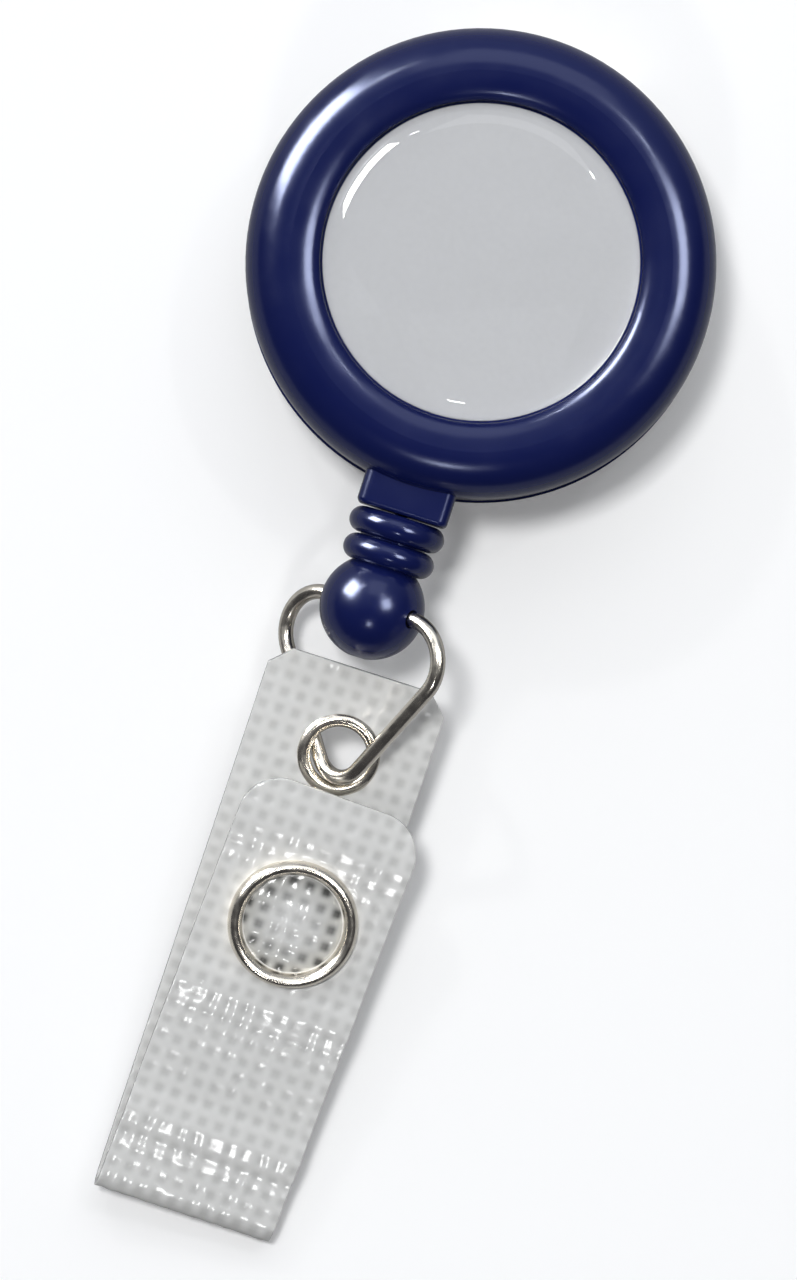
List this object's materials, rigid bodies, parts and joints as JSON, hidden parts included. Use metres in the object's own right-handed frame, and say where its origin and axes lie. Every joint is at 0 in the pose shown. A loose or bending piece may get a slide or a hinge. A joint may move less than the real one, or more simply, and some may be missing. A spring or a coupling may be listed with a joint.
{
  "type": "retractable badge reel",
  "caption": "Round retractable badge reel with a belt clip, a ball stopper on a sprung cord, a wire ring and a clear strap with a snap fastener.",
  "frame": {"origin": "on the spool's axis, at the flat outer face of the belt clip's tongue, which the reel lies on", "axes": "+Z out of the label, -Y the way the cord leaves the case, +X to the right seen from the front with the outlet down"},
  "size_m": [0.0322, 0.0846, 0.0139],
  "materials": {
    "navy_plastic": "glossy moulded ABS",
    "label_paper": "bare light grey label",
    "clear_dome": "clear domed plastic",
    "steel": "plain spring steel",
    "white_plastic": "natural acetal",
    "black_cord": "braided nylon cord",
    "nickel": "bright nickel plate",
    "clear_vinyl": "clear vinyl with a fine mesh inside"
  },
  "bodies": {
    "case": {"front_shell": "navy_plastic", "label_disc": "label_paper", "label_dome": "clear_dome", "back_cover": "navy_plastic", "axle_tube": "steel", "power_spring": "steel", "cord_run": "black_cord", "clip_plate": "steel", "clip_rivet": "steel"},
    "spool": {"spool": "white_plastic", "spring_cover": "white_plastic", "cord_coil": "black_cord"},
    "clip": {"clip_tongue": "steel"},
    "cord": {"cord_lead": "black_cord", "cord_knot": "black_cord"},
    "stopper": {"cord_stopper": "navy_plastic"},
    "ring": {"wire_ring": "nickel"},
    "strap": {"strap_back": "clear_vinyl", "eyelet": "nickel", "snap_stud": "nickel", "snap_back_ring": "nickel"},
    "flap": {"strap_flap": "clear_vinyl", "snap_front_ring": "nickel", "snap_socket": "nickel", "snap_spring": "nickel"}
  },
  "joints": [
    {"name": "cord_pull", "type": "slide", "parent": "case", "child": "cord", "axis": [0, -1, 0], "range_m": [0, 0.8], "stiffness_N_per_m": 0.5, "springref_m": -0.5},
    {"name": "spool_spin", "type": "hinge", "parent": "case", "child": "spool", "pos_m": [0, 0, 0.00827], "axis": [0, 0, 1], "range_deg": [-4210, 0]},
    {"name": "clip_flex", "type": "hinge", "parent": "case", "child": "clip", "pos_m": [0, 0.0138, 0.0003], "axis": [1, 0, 0], "range_deg": [0, 8], "stiffness_Nm_per_rad": 1},
    {"name": "stopper_swivel", "type": "hinge", "parent": "cord", "child": "stopper", "pos_m": [0, -0.02445, 0.00827], "axis": [0, -1, 0], "continuous": true},
    {"name": "ring_pivot", "type": "hinge", "parent": "stopper", "child": "ring", "pos_m": [0, -0.02445, 0.00827], "axis": [0.7961, 0, 0.6052], "range_deg": [-100, 80]},
    {"name": "strap_swing", "type": "hinge", "parent": "ring", "child": "strap", "pos_m": [0.00084, -0.03477, 0.0058], "axis": [0.1022, -0.1488, 0.9836], "range_deg": [-15, 15]},
    {"name": "flap_open", "type": "hinge", "parent": "strap", "child": "flap", "pos_m": [0.00008, -0.0672, 0.00194], "axis": [0.9941, -0.022, -0.1066], "range_deg": [0, 165]}
  ],
  "couplings": [
    {"joint": "spool_spin", "follows": "cord_pull", "rad_per_m": -91.743}
  ]
}
